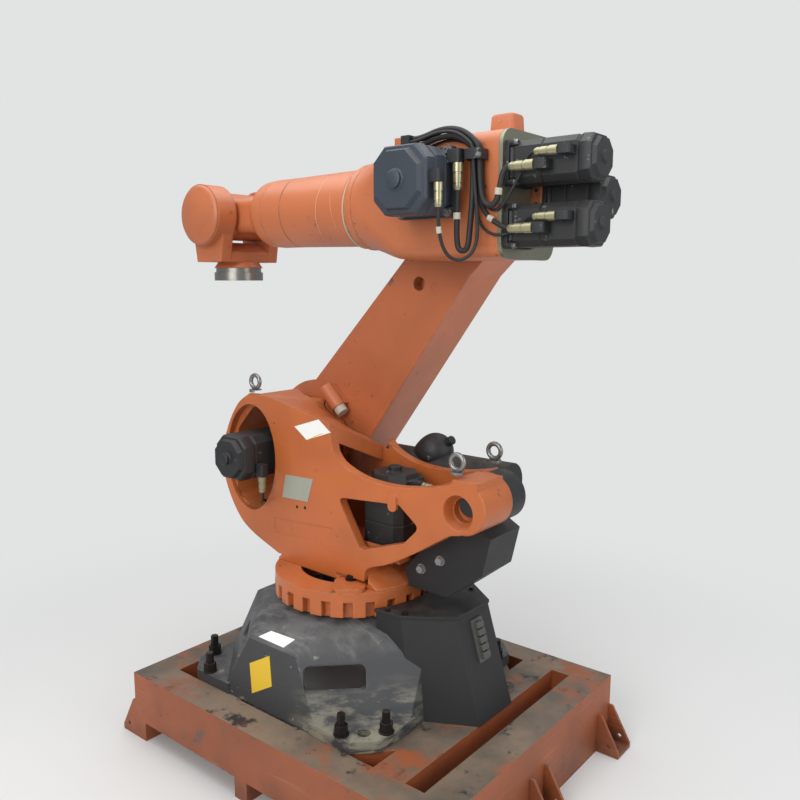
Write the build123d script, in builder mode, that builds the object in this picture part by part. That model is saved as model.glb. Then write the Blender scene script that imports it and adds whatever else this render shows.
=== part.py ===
"""Large six-axis industrial robot arm, folded for transport, bolted to a welded steel stand.

Frame: origin on the floor under the turning axis, +X forward (the way the arm points),
+Y to the robot's left, +Z up. All sizes in millimetres, shown in the transport pose:
the link arm leans back, the forearm lies level over it and the hand hangs down.
"""

import os
from math import atan2, cos, degrees, hypot, pi, radians, sin, sqrt, tan

from build123d import *

# ---------------------------------------------------------------- driving dimensions
gap = 0.3  # running gap between faces of pieces that move on each other

# stand: a welded frame of box beams on three runners
stand_height = 300
stand_length = 1632
stand_width = 1298
stand_centre_x = -111
stand_centre_y = 17
beam_width = 140
runner_height = 85
runner_width = 71
rear_slot_width = 83
brace_width = 190
bracket_reach = 100
bracket_height = 168
bracket_width = 122
bracket_plate = 12
anchor_hole_r = 13

# base casting
foot_bolt_radius = 625
foot_square = sqrt(2) * (foot_bolt_radius + 117.5)
foot_corner = foot_bolt_radius + 60  # distance of the cut corners from the turning axis
foot_height = 46
foot_bolt_spacing = 166
foot_hole_r = 13
pin_hole_r = 11
base_low_side = 485
base_low_corner = 545
shoulder_height = 215
shoulder_side = 405
shoulder_corner = 402
neck_height = 355
neck_r = 300
base_wall = 28
base_window_width = 240
base_window_height = 92
base_window_z = 420

# turning part
turntable_r = 345
turntable_z = 661
turntable_height = 112
lug_count = 24
lug_width = 52
column_floor = 880
near_wall_y = 190
far_wall_y = -200
column_wall = 42

# joint axes in the transport pose
a2_x, a2_z = 415, 1245
link_length = 1430
link_lean = 40.3
forearm_drop = 49
forearm_length = 1235
hand_length = 290

# link arm
hub_r = 285
head_r = 232
link_near_y = -206
link_thickness = 234
link_front_low, link_front_high = 172, 132
link_rear_low, link_rear_high = 208, 156

# forearm
tube_r = 146
tube_root_r = 168
tube_start_from_a3 = 370
tube_end_from_wrist = 324
nose_length = 117
nose_r = 100
arm_near_y = 160
arm_far_y = -195
arm_rear_from_a3 = 245
arm_top = 168
arm_bottom = 252
plate_thickness = 14

# hand
drum_r = 133
neck_half_width = 113
near_cheek_end = 212
far_cheek_end = -178
hand_block_r = 118
flange_r = 112
flange_thickness = 38
flange_pcd = 200
flange_hole_r = 6
flange_hole_count = 12

# drives
rear_motor_size = 140
rear_motor_length = 285
rear_motor_cap = 62

# ---------------------------------------------------------------- derived places
a3_x = a2_x - link_length * sin(radians(link_lean))
a3_z = a2_z + link_length * cos(radians(link_lean))
a4_z = a3_z - forearm_drop
wrist_x = a3_x + forearm_length
flange_z = a4_z - hand_length
stand_x0 = stand_centre_x - stand_length / 2
stand_x1 = stand_centre_x + stand_length / 2
stand_y0 = stand_centre_y - stand_width / 2
stand_y1 = stand_centre_y + stand_width / 2
deck = stand_height
pieces = []


def finish(builder, label):
    """Label a finished piece and keep it for writing."""
    builder.part.label = label
    pieces.append(builder.part)


def octagon(side, corner):
    """Points of an octagon whose flats lie at `side` from the axis and whose cut corners lie at `corner`."""
    half = sqrt(2) * corner - side
    return [(side, half), (half, side), (-half, side), (-side, half),
            (-side, -half), (-half, -side), (half, -side), (side, -half)]


# ================================================================ stand
# Frame of box beams: four sides, a cross beam before the rear slot, and a brace under each foot.
opening_x0 = stand_x0 + 2 * beam_width + rear_slot_width + 4
opening_x1 = stand_x1 - beam_width + 5
opening_y0 = stand_y0 + beam_width - 20
opening_y1 = stand_y1 - beam_width
opening_mid = ((opening_x0 + opening_x1) / 2, (opening_y0 + opening_y1) / 2)
with BuildPart() as stand_frame:
    with BuildSketch(Plane.XY.offset(runner_height)):
        with Locations((stand_centre_x, stand_centre_y)):
            Rectangle(stand_length, stand_width)
        with Locations(opening_mid):
            Rectangle(opening_x1 - opening_x0, opening_y1 - opening_y0, mode=Mode.SUBTRACT)
        with Locations((stand_x0 + beam_width + rear_slot_width / 2, opening_mid[1])):
            Rectangle(rear_slot_width, opening_y1 - opening_y0, mode=Mode.SUBTRACT)
    extrude(amount=stand_height - runner_height)
    # braces lie across the corners of the opening, flush with the deck
    with BuildSketch(Plane.XY.offset(stand_height)):
        with PolarLocations(foot_corner - 12 - brace_width / 2, 4, start_angle=45):
            Rectangle(brace_width, 2 * foot_square)
        with Locations(opening_mid):
            Rectangle(opening_x1 - opening_x0, opening_y1 - opening_y0, mode=Mode.INTERSECT)
    extrude(amount=-90)
    # threaded holes under the feet
    for quarter in range(4):
        with Locations(Plane.XY.offset(stand_height).rotated((0, 0, 45 + 90 * quarter))):
            with Locations((foot_bolt_radius, foot_bolt_spacing / 2), (foot_bolt_radius, -foot_bolt_spacing / 2)):
                Hole(foot_hole_r - 2, depth=60)
finish(stand_frame, "stand_frame")

# Runners under the frame leave two fork pockets.
runner_places = {"stand_runner_front": stand_x1 - runner_width / 2,
                 "stand_runner_middle": 0,
                 "stand_runner_rear": stand_x0 + runner_width / 2}
for runner_name, runner_x in runner_places.items():
    with BuildPart() as runner:
        with Locations((runner_x, stand_centre_y, runner_height / 2)):
            Box(runner_width, stand_width, runner_height)
    finish(runner, runner_name)

# Anchor brackets: two triangular plates on a pad with an anchor hole.
bracket_rows = {"left": stand_y1 - bracket_width / 2, "middle": stand_centre_y - 15,
                "right": stand_y0 + bracket_width / 2}
for side_name, side_x, side_turn in (("front", stand_x1, 0), ("rear", stand_x0, 180)):
    for row_name, row_y in bracket_rows.items():
        seat = Plane((side_x, row_y, 0), x_dir=Vector(1, 0, 0).rotate(Axis.Z, side_turn), z_dir=(0, 0, 1))
        with BuildPart() as bracket:
            with BuildSketch(seat):
                with Locations((bracket_reach / 2, 0)):
                    Rectangle(bracket_reach, bracket_width)
                with Locations((bracket_reach * 0.58, 0)):
                    Circle(anchor_hole_r, mode=Mode.SUBTRACT)
            extrude(amount=bracket_plate)
            for edge_y in (-bracket_width / 2 + bracket_plate, bracket_width / 2):
                side_plane = Plane(seat.from_local_coords((0, edge_y, 0)), x_dir=seat.x_dir,
                                   z_dir=-seat.y_dir)
                with BuildSketch(side_plane):
                    with BuildLine():
                        Polyline((0, bracket_plate), (bracket_reach, bracket_plate), (bracket_reach, 24),
                                 (18, bracket_height), (0, bracket_height), close=True)
                    make_face()
                    with Locations((bracket_reach * 0.55, 42)):
                        Circle(9, mode=Mode.SUBTRACT)
                extrude(amount=bracket_plate)
        finish(bracket, f"anchor_bracket_{side_name}_{row_name}")

# ================================================================ base
# The outer form: feet, sloping octagonal body, shoulder and round neck.
with BuildPart() as base_form:
    with BuildSketch(Plane.XY.offset(deck)):
        Rectangle(foot_square, foot_square)
        Rectangle(2 * foot_corner, 2 * foot_corner, rotation=45, mode=Mode.INTERSECT)
        with PolarLocations(foot_square / 2, 4):
            Rectangle(2 * (foot_square / 2 - base_low_side), 470, mode=Mode.SUBTRACT)
    extrude(amount=foot_height)
    with BuildSketch(Plane.XY.offset(deck)) as low_ring:
        Polygon(*octagon(base_low_side, base_low_corner), align=None)
    with BuildSketch(Plane.XY.offset(deck + shoulder_height)) as shoulder_ring:
        Polygon(*octagon(shoulder_side, shoulder_corner), align=None)
    loft()
    with BuildSketch(Plane.XY.offset(deck + shoulder_height)):
        Polygon(*octagon(shoulder_side, shoulder_corner), align=None)
    with BuildSketch(Plane.XY.offset(deck + neck_height - 40)):
        Polygon(*octagon(neck_r + 10, neck_r + 10), align=None)
    loft()
    with Locations((0, 0, deck + neck_height / 2 + 60)):
        Cylinder(neck_r, neck_height - 120)

window_lean = degrees(atan2(base_low_corner - shoulder_corner, shoulder_height))
with BuildPart() as base_casting:
    add(base_form.part)
    with BuildSketch(Plane.XY.offset(deck)):
        Polygon(*octagon(base_low_side - base_wall, base_low_corner - base_wall), align=None)
    with BuildSketch(Plane.XY.offset(deck + shoulder_height - 6)):
        Polygon(*octagon(shoulder_side - base_wall, shoulder_corner - base_wall), align=None)
    loft(mode=Mode.SUBTRACT)
    with Locations((0, 0, deck + shoulder_height)):
        Cylinder(neck_r - 60, 2 * shoulder_height, mode=Mode.SUBTRACT)
    for quarter in range(4):
        turn = 45 + 90 * quarter
        # window through the sloping corner face
        with BuildSketch(Plane.XZ.rotated((0, 0, turn + 90))):
            with Locations((0, base_window_z)):
                RectangleRounded(base_window_width, base_window_height, 24)
        extrude(amount=foot_corner, mode=Mode.SUBTRACT)
        # two bolt holes and a pin hole in each foot
        with Locations(Plane.XY.offset(deck + foot_height).rotated((0, 0, turn))):
            with Locations((foot_bolt_radius, foot_bolt_spacing / 2), (foot_bolt_radius, -foot_bolt_spacing / 2)):
                Hole(foot_hole_r)
            with Locations((foot_bolt_radius, 0)):
                Hole(pin_hole_r)
finish(base_casting, "base_casting")

# Fixed bearing ring between the base and the turntable.
with BuildPart() as slew_bearing:
    with BuildSketch(Plane.XY.offset(deck + neck_height)):
        Circle(neck_r - 18)
        Circle(neck_r - 60, mode=Mode.SUBTRACT)
    extrude(amount=turntable_z - deck - neck_height)
finish(slew_bearing, "slew_bearing")

# Cable housing: folded sheet box on the rear of the base, tapering upwards.
housing_top = 700
housing_clear = turntable_r + 12
housing_low = [(-300, 200), (-479, 200), (-712, 74), (-712, -158), (-479, -284), (-300, -284)]
housing_high = [(-300, 206), (-418, 196), (-592, 70), (-592, -154), (-418, -280), (-300, -290)]
with BuildPart() as cable_housing:
    with BuildSketch(Plane.XY.offset(deck)):
        Polygon(*housing_low, align=None)
    with BuildSketch(Plane.XY.offset(housing_top)):
        Polygon(*housing_high, align=None)
    loft()
    add(base_form.part, mode=Mode.SUBTRACT)
    with Locations((0, 0, deck + 400)):
        Cylinder(housing_clear, 800, mode=Mode.SUBTRACT)
finish(cable_housing, "cable_housing")

with BuildPart() as housing_lid:
    with BuildSketch(Plane.XY.offset(housing_top)):
        Polygon(*housing_high, align=None)
        offset(amount=5, kind=Kind.INTERSECTION)
        Circle(housing_clear, mode=Mode.SUBTRACT)
    extrude(amount=12)
finish(housing_lid, "housing_lid")

# Connector panel on the rear face of the housing.
rear_lean = atan2(712 - 592, housing_top - deck)
panel_plane = Plane((-712 + 120 * (590 - deck) / (housing_top - deck), -46, 590), x_dir=(0, -1, 0),
                    z_dir=(-cos(rear_lean), 0, sin(rear_lean)))
with BuildPart() as connector_panel:
    with BuildSketch(panel_plane):
        RectangleRounded(74, 170, 6)
    extrude(amount=8)
    with BuildSketch(panel_plane.offset(8)):
        with GridLocations(0, 30, 1, 5):
            RectangleRounded(46, 24, 5)
    extrude(amount=14)
finish(connector_panel, "connector_panel")

# ================================================================ turntable and column
with BuildPart() as turntable_ring:
    with BuildSketch(Plane.XY.offset(turntable_z + gap)):
        Circle(turntable_r - 30)
        Circle(neck_r - 66, mode=Mode.SUBTRACT)
    extrude(amount=turntable_height - gap)
    with BuildSketch(Plane.XY.offset(turntable_z + 10)):
        with PolarLocations(turntable_r - 24, lug_count):
            Rectangle(48, lug_width)
    extrude(amount=62)
    with BuildSketch(Plane.XY.offset(turntable_z + 72)):
        Circle(turntable_r)
        Circle(neck_r - 66, mode=Mode.SUBTRACT)
    extrude(amount=turntable_height - 72)
finish(turntable_ring, "turntable_ring")

ring_top = turntable_z + turntable_height
eye_x, eye_z = 462, 1212
eye_rx, eye_rz = 166, 246
barrel_x, barrel_z, barrel_r = -735, 1212, 98
with BuildPart() as column_casting:
    # round skirt on the turntable, closing to the body like a dome
    with BuildSketch(Plane.XZ) as skirt_sketch:
        with BuildLine():
            Polyline((0, ring_top), (turntable_r, ring_top), (turntable_r, ring_top + 30))
            Spline((turntable_r, ring_top + 30), (turntable_r - 28, ring_top + 95), (turntable_r - 110, ring_top + 170),
                   tangents=((0, 1), (-1, 0.9)))
            Polyline((turntable_r - 110, ring_top + 170), (0, ring_top + 170), (0, ring_top))
        make_face()
    revolve(axis=Axis.Z)
    # body: the side outline through the whole width
    with BuildSketch(Plane.XZ.offset(-near_wall_y)) as body_outline:
        with BuildLine():
            Spline((300, ring_top + 60), (470, 885), (640, 1000), (722, 1190), (660, 1395), (455, 1513),
                   (240, 1480), tangents=((1, 0.35), (-1, -0.35)))
            Polyline((240, 1480), (-100, 1398), (-330, 1335), (-690, 1305))
            Spline((-690, 1305), (-833, 1212), (-735, 1114), tangents=((-1, 0.05), (1, -0.25)))
            Spline((-735, 1114), (-520, 1010), (-300, ring_top + 60), tangents=((1, -0.25), (0.6, -1)))
            Line((-300, ring_top + 60), (300, ring_top + 60))
        make_face()
    extrude(amount=near_wall_y - far_wall_y)
    # hollow between the two side walls, open at the top behind the eye
    with BuildSketch(Plane.XZ.offset(-near_wall_y + column_wall)):
        with BuildLine():
            Spline((250, column_floor + 20), (450, 930), (592, 1030), (680, 1195), (620, 1370), (450, 1468),
                   (240, 1436), tangents=((1, 0.2), (-1, -0.35)))
            Polyline((240, 1436), (240, 1600), (-620, 1600), (-620, 1120), (-430, 1010), (-250, column_floor + 20),
                     (250, column_floor + 20))
        make_face()
    extrude(amount=near_wall_y - far_wall_y - 2 * column_wall, mode=Mode.SUBTRACT)
    # seat of the turning drive on the floor
    with Locations((-230, 0, column_floor + 20)):
        Box(200, 200, 300, align=(Align.CENTER, Align.CENTER, Align.MIN), mode=Mode.SUBTRACT)
    # the eye in the near wall
    with BuildSketch(Plane.XZ.offset(-near_wall_y)):
        with Locations((eye_x, eye_z)):
            Ellipse(eye_rx, eye_rz, rotation=-8)
    extrude(amount=column_wall, mode=Mode.SUBTRACT)
    # upper window edge: both walls dip beside the turning drive
    with BuildSketch(Plane.XZ.offset(-near_wall_y)):
        with BuildLine():
            Polyline((-70, 1640), (-70, 1385), (-180, 1290), (-600, 1290), (-650, 1640), close=True)
        make_face()
        fillet([v for v in vertices() if v.Z < 1500], radius=40)
    extrude(amount=near_wall_y - far_wall_y, mode=Mode.SUBTRACT)
    # lower three-cornered window in both walls
    with BuildSketch(Plane.XZ.offset(-near_wall_y)):
        with BuildLine():
            Polyline((-20, 1150), (-400, 1172), (-505, 1110), (-330, 985), (-60, 925), close=True)
        make_face()
        fillet(vertices(), radius=38)
    extrude(amount=near_wall_y - far_wall_y, mode=Mode.SUBTRACT)
    # round recess in the cross barrel
    with BuildSketch(Plane.XZ.offset(-near_wall_y)):
        with Locations((-690, 1190)):
            Circle(62)
    extrude(amount=75, mode=Mode.SUBTRACT)
    # seat of the link reducer in the far wall and room for the swinging stop boss
    with BuildSketch(Plane.XZ.offset(-far_wall_y - 2 * column_wall)):
        with Locations((a2_x, a2_z)):
            Circle(196)
    extrude(amount=2 * column_wall, mode=Mode.SUBTRACT)
    with BuildSketch(Plane.XZ.offset(-far_wall_y - column_wall - 30)):
        with Locations((a2_x, a2_z)):
            Circle(308)
            Circle(206, mode=Mode.SUBTRACT)
        with BuildLine():
            Polyline((a2_x - 400, a2_z - 400), (a2_x, a2_z), (a2_x + 400, a2_z - 260), (a2_x + 400, a2_z - 420),
                     close=True)
        make_face(mode=Mode.SUBTRACT)
    extrude(amount=column_wall + 30, mode=Mode.SUBTRACT)
finish(column_casting, "column_casting")

# Reducer that carries the link arm: a flanged drum seated in the far wall.
with BuildPart() as a2_reducer:
    with BuildSketch(Plane.XZ.offset(-far_wall_y)):
        with Locations((a2_x, a2_z)):
            Circle(196)
    extrude(amount=-column_wall - 40)
    with BuildSketch(Plane.XZ.offset(-far_wall_y - column_wall - 40)):
        with Locations((a2_x, a2_z)):
            Circle(160)
    extrude(amount=-22)
finish(a2_reducer, "a2_reducer")


def motor(builder_name, seat, size, length, cap_length, knob=True):
    """Servo motor on the plane `seat`: flange, ribbed square body, octagonal cap and a round knob."""
    with BuildPart() as drive:
        with BuildSketch(seat):
            RectangleRounded(size, size, size * 0.1)
        extrude(amount=18)
        with BuildSketch(seat.offset(18)):
            Rectangle(size * 0.94, size * 0.94)
            chamfer(vertices(), length=size * 0.14)
        extrude(amount=length - 18)
        with BuildSketch(seat.offset(length)):
            Rectangle(size * 0.98, size * 0.98)
            chamfer(vertices(), length=size * 0.22)
        extrude(amount=cap_length, taper=6)
        if knob:
            with BuildSketch(seat.offset(length + cap_length)):
                Circle(size * 0.12)
            extrude(amount=20)
    finish(drive, builder_name)


motor("a2_motor", Plane((a2_x + 12, far_wall_y + column_wall + 62, a2_z - 6), x_dir=(1, 0, 0), z_dir=(0, 1, 0)),
      196, 278, 78)
motor("a1_motor", Plane((-230, 0, column_floor + 20), x_dir=(1, 0, 0), z_dir=(0, 0, 1)), 190, 235, 70)

# Balancer: closed cylinder along the far wall with its accumulator on top.
balancer_y = far_wall_y - 92
with BuildPart() as balancer_cylinder:
    with BuildSketch(Plane.YZ.offset(-610)):
        with Locations((balancer_y, 1175)):
            Circle(84)
    extrude(amount=640)
    with Locations((-330, (far_wall_y + balancer_y) / 2, 1150)):
        Box(150, abs(balancer_y - far_wall_y), 110)
finish(balancer_cylinder, "balancer_cylinder")
with BuildPart() as balancer_cap:
    with BuildSketch(Plane.YZ.offset(-610)):
        with Locations((balancer_y, 1175)):
            Circle(112)
    extrude(amount=-80)
    add(column_casting.part, mode=Mode.SUBTRACT)
finish(balancer_cap, "balancer_cap")
with BuildPart() as accumulator:
    with Locations((-235, balancer_y, 1175 + 84 + 80)):
        Sphere(94)
    with BuildSketch(Plane.XY.offset(1175 + 60)):
        with Locations((-235, balancer_y)):
            Circle(30)
    extrude(amount=60)
    with Locations((-235, balancer_y, 1175)):
        Cylinder(84, 700, rotation=(0, 90, 0), mode=Mode.SUBTRACT)
finish(accumulator, "accumulator")

# Plug at the bottom of the recess in the cross barrel.
with BuildPart() as pivot_plug:
    with BuildSketch(Plane.XZ.offset(-near_wall_y + 75)):
        with Locations((-690, 1190)):
            Circle(42)
    extrude(amount=-26)
finish(pivot_plug, "pivot_plug")


def eyebolt(builder_name, place, turn):
    """Lifting eye: collar, shank and upright ring, standing on `place`."""
    with BuildPart() as eye:
        with Locations(place):
            Cylinder(27, 12, align=(Align.CENTER, Align.CENTER, Align.MIN))
        with Locations(Location((place[0], place[1], place[2] + 46), (90, 0, turn))):
            Torus(28, 9)
        add(column_casting.part, mode=Mode.SUBTRACT)
    finish(eye, builder_name)


eyebolt("eyebolt_front", (430, near_wall_y - 20, 1511), 0)
eyebolt("eyebolt_mid", (-650, near_wall_y - 30, 1304), 60)
eyebolt("eyebolt_rear", (-650, -90, 1304), 60)

# Cable bracket: angular sheet box under the rear of the column.
with BuildPart() as cable_bracket:
    with BuildSketch(Plane.XZ.offset(-60)):
        with BuildLine():
            Polyline((-352, 775), (-540, 775), (-700, 900), (-735, 1050), (-660, 1092), (-500, 1000),
                     (-400, 930), (-330, 846), close=True)
        make_face()
    extrude(amount=210)
    add(column_casting.part, mode=Mode.SUBTRACT)
finish(cable_bracket, "cable_bracket")

# ================================================================ link arm
# Local plane: origin on the hub axis, local x towards the elbow, local y towards the rear edge.
link_plane = Plane((a2_x, link_near_y, a2_z), x_dir=(a3_x - a2_x, 0, a3_z - a2_z), z_dir=(0, -1, 0))
with BuildPart() as link_arm:
    with BuildSketch(link_plane):
        Circle(hub_r)
        with Locations((link_length, 0)):
            Circle(head_r)
        with BuildLine():
            Polyline((120, -link_front_low - 30), (link_length * 0.8, -link_front_high),
                     (link_length, -head_r * 0.8), (link_length, head_r * 0.8),
                     (link_length * 0.8, link_rear_high), (120, link_rear_low + 20), close=True)
        make_face()
    extrude(amount=link_thickness)
    # round faces that meet the two reducers
    with BuildSketch(link_plane):
        Circle(188)
        with Locations((link_length, 0)):
            Circle(160)
    extrude(amount=-(far_wall_y - link_near_y) + gap)
    # round hole near the elbow
    with BuildSketch(link_plane):
        with Locations((link_length - 475, -20)):
            Circle(30)
    extrude(amount=60, mode=Mode.SUBTRACT)
finish(link_arm, "link_arm")

# Stop boss on the hub with its buffer.
stop_angle = radians(135)
stop_r = 248
stop_x, stop_z = a2_x + stop_r * cos(stop_angle), a2_z + stop_r * sin(stop_angle)
stop_plane = Plane((stop_x, link_near_y + 42, stop_z), x_dir=(0, 1, 0), z_dir=(-sin(stop_angle), 0, cos(stop_angle)))
with BuildPart() as stop_boss:
    with BuildSketch(stop_plane.offset(-120)):
        Circle(34)
    extrude(amount=120)
    with BuildSketch(stop_plane.offset(-120)):
        with Locations((-30, 0)):
            Rectangle(24, 60)
    extrude(amount=120)
    split(bisect_by=Plane((0, link_near_y, 0), z_dir=(0, 1, 0)))
finish(stop_boss, "stop_boss")
with BuildPart() as stop_buffer:
    with BuildSketch(stop_plane):
        Circle(28)
    extrude(amount=34)
finish(stop_buffer, "stop_buffer")

# ================================================================ forearm
tube_start = a3_x + tube_start_from_a3
tube_end = wrist_x - tube_end_from_wrist
arm_rear = a3_x - arm_rear_from_a3
with BuildPart() as arm_casting:
    with BuildSketch(Plane.XZ.offset(-arm_near_y)):
        with BuildLine():
            Polyline((tube_start, a4_z - tube_root_r), (tube_start, a4_z + tube_root_r),
                     (a3_x + 150, a3_z + arm_top - 10), (a3_x - 60, a3_z + arm_top), (arm_rear, a3_z + arm_top - 6),
                     (arm_rear, a3_z - arm_bottom), (a3_x - 60, a3_z - arm_bottom), (a3_x + 160, a3_z - arm_bottom + 20),
                     close=True)
        make_face()
        fillet([v for v in vertices() if v.X > arm_rear + 1 and v.X < tube_start - 1], radius=60)
    extrude(amount=arm_near_y - arm_far_y)
    # round boss for the elbow reducer on the far side
    with BuildSketch(Plane.XZ.offset(-arm_far_y)):
        with Locations((a3_x, a3_z)):
            Circle(158)
    extrude(amount=-link_near_y + arm_far_y - 6 - gap)
    # round seat of the elbow drive on the near side
    with BuildSketch(Plane.XZ.offset(-arm_near_y)):
        with Locations((a3_x - 28, a3_z)):
            Circle(128)
    extrude(amount=-30)
finish(arm_casting, "arm_casting")

# Bare metal plate that carries the three hand drives.
with BuildPart() as motor_plate:
    with BuildSketch(Plane.YZ.offset(arm_rear)):
        with Locations(((arm_near_y + arm_far_y) / 2, a3_z + (arm_top - arm_bottom) / 2)):
            RectangleRounded(arm_near_y - arm_far_y + 10, arm_top + arm_bottom + 4, 60)
    extrude(amount=-plate_thickness)
finish(motor_plate, "motor_plate")

with BuildPart() as arm_tube:
    with BuildSketch(Plane.XZ):
        with BuildLine():
            Polyline((tube_start, a4_z), (tube_start, a4_z + tube_root_r), (tube_start + 22, a4_z + tube_root_r),
                     (tube_start + 60, a4_z + tube_r + 6), (tube_end - 120, a4_z + tube_r),
                     (tube_end - 120, a4_z + tube_r - 3), (tube_end - 116, a4_z + tube_r - 3),
                     (tube_end - 116, a4_z + tube_r), (tube_end, a4_z + tube_r), (tube_end, a4_z), close=True)
        make_face()
    revolve(axis=Axis((0, 0, a4_z), (1, 0, 0)))
finish(arm_tube, "arm_tube")

motor("a3_motor", Plane((a3_x - 28, arm_near_y + 30, a3_z), x_dir=(1, 0, 0), z_dir=(0, 1, 0)), 250, 120, 74)
motor_face = arm_rear - plate_thickness
for motor_name, motor_y, motor_z in (("a4_motor", 78, 92), ("a5_motor", 78, -104), ("a6_motor", -104, -6)):
    motor(motor_name, Plane((motor_face, motor_y, a4_z + motor_z), x_dir=(0, 1, 0), z_dir=(-1, 0, 0)),
          rear_motor_size, rear_motor_length, rear_motor_cap)

# Lifting boss on top of the casting.
with BuildPart() as top_boss:
    with BuildSketch(Plane.XY.offset(a3_z + arm_top - 6)):
        with Locations((arm_rear + 62, -30)):
            RectangleRounded(74, 96, 16)
    extrude(amount=52, taper=4)
    add(arm_casting.part, mode=Mode.SUBTRACT)
finish(top_boss, "top_boss")

# ================================================================ wrist
nose_start = tube_end + gap
nose_end = tube_end + nose_length
with BuildPart() as wrist_neck:
    with BuildSketch(Plane.XZ):
        with BuildLine():
            Polyline((nose_start, a4_z), (nose_start, a4_z + tube_r), (nose_start + 50, a4_z + tube_r - 4))
            Spline((nose_start + 50, a4_z + tube_r - 4), (nose_start + 92, a4_z + tube_r - 24), (nose_end, a4_z + nose_r),
                   tangents=((1, -0.1), (0.5, -1)))
            Polyline((nose_end, a4_z + nose_r), (nose_end, a4_z), (nose_start, a4_z))
        make_face()
    revolve(axis=Axis((0, 0, a4_z), (1, 0, 0)))
    with BuildSketch(Plane.YZ.offset(nose_end - 20)):
        with Locations((0, a4_z)):
            RectangleRounded(2 * neck_half_width - 40, 156, 40)
    extrude(amount=wrist_x - nose_end + 20)
    with BuildSketch(Plane.XZ.offset(-neck_half_width)):
        with Locations((wrist_x, a4_z)):
            Circle(106)
    extrude(amount=2 * neck_half_width)
finish(wrist_neck, "wrist_neck")

cheek_start = neck_half_width + gap
block_bottom = -hand_length + flange_thickness + 20
with BuildPart() as hand_fork:
    # near and far cheeks
    with BuildSketch(Plane.XZ.offset(-near_cheek_end)):
        with Locations((wrist_x, a4_z)):
            Circle(drum_r)
    extrude(amount=near_cheek_end - cheek_start)
    with BuildSketch(Plane.XZ.offset(-far_cheek_end)):
        with Locations((wrist_x, a4_z)):
            Circle(drum_r - 8)
    extrude(amount=far_cheek_end + cheek_start)
    # yoke under the cheeks, cut to a roof so that it clears the neck
    with BuildSketch(Plane.XZ.offset(-170)):
        with BuildLine():
            Polyline((wrist_x - 84, a4_z - 162), (wrist_x - 60, a4_z - 144), (wrist_x - 20, a4_z - 117),
                     (wrist_x + 20, a4_z - 117), (wrist_x + 60, a4_z - 144), (wrist_x + 84, a4_z - 162),
                     (wrist_x + 84, a4_z - 206), (wrist_x - 84, a4_z - 206), close=True)
        make_face()
    extrude(amount=332)
    for cheek_y, cheek_depth in ((170, 170 - cheek_start), (-cheek_start, 162 - cheek_start)):
        with BuildSketch(Plane.XZ.offset(-cheek_y)):
            with BuildLine():
                Polyline((wrist_x - 108, a4_z - 60), (wrist_x + 108, a4_z - 60), (wrist_x + 84, a4_z - 206),
                         (wrist_x - 84, a4_z - 206), close=True)
            make_face()
        extrude(amount=cheek_depth)
    with BuildSketch(Plane.XY.offset(a4_z - 206)):
        with Locations((wrist_x, 0)):
            Circle(hand_block_r - 24)
    with BuildSketch(Plane.XY.offset(a4_z + block_bottom)):
        with Locations((wrist_x, 0)):
            Circle(hand_block_r - 6)
    loft()
finish(hand_fork, "hand_fork")

# Domed covers of the two cheeks.
with BuildPart() as hand_dome_near:
    with BuildSketch(Plane.YZ.offset(wrist_x)):
        with BuildLine():
            Polyline((near_cheek_end, a4_z), (near_cheek_end, a4_z + drum_r - 3))
            Spline((near_cheek_end, a4_z + drum_r - 3), (near_cheek_end + 16, a4_z + drum_r - 26),
                   (near_cheek_end + 30, a4_z), tangents=((0.9, -0.3), (0, -1)))
            Line((near_cheek_end + 30, a4_z), (near_cheek_end, a4_z))
        make_face()
    revolve(axis=Axis((wrist_x, 0, a4_z), (0, 1, 0)))
finish(hand_dome_near, "hand_dome_near")
with BuildPart() as hand_dome_far:
    with BuildSketch(Plane.YZ.offset(wrist_x)):
        with BuildLine():
            Polyline((far_cheek_end, a4_z), (far_cheek_end, a4_z + drum_r - 14), (far_cheek_end - 12, a4_z + drum_r - 30),
                     (far_cheek_end - 12, a4_z), close=True)
        make_face()
    revolve(axis=Axis((wrist_x, 0, a4_z), (0, 1, 0)))
finish(hand_dome_far, "hand_dome_far")

with BuildPart() as tool_flange:
    with BuildSketch(Plane.XY.offset(flange_z)):
        with Locations((wrist_x, 0)):
            Circle(flange_r)
    extrude(amount=flange_thickness)
    with BuildSketch(Plane.XY.offset(flange_z + flange_thickness)):
        with Locations((wrist_x, 0)):
            Circle(flange_r - 8)
    extrude(amount=20 - gap)
    with Locations(Plane((wrist_x, 0, flange_z), z_dir=(0, 0, -1))):
        with PolarLocations(flange_pcd / 2, flange_hole_count):
            Hole(flange_hole_r, depth=24)
    with Locations(Plane((wrist_x, 0, flange_z), z_dir=(0, 0, -1))):
        Hole(40, depth=12)
finish(tool_flange, "tool_flange")

# ---------------------------------------------------------------- write
os.makedirs("parts", exist_ok=True)
for piece in pieces:
    export_step(piece, f"parts/{piece.label}.step")
    print(piece.label, len(piece.solids()), round(piece.volume))
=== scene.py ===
import bpy
import bmesh
import math
from mathutils import Matrix, Vector


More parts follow.
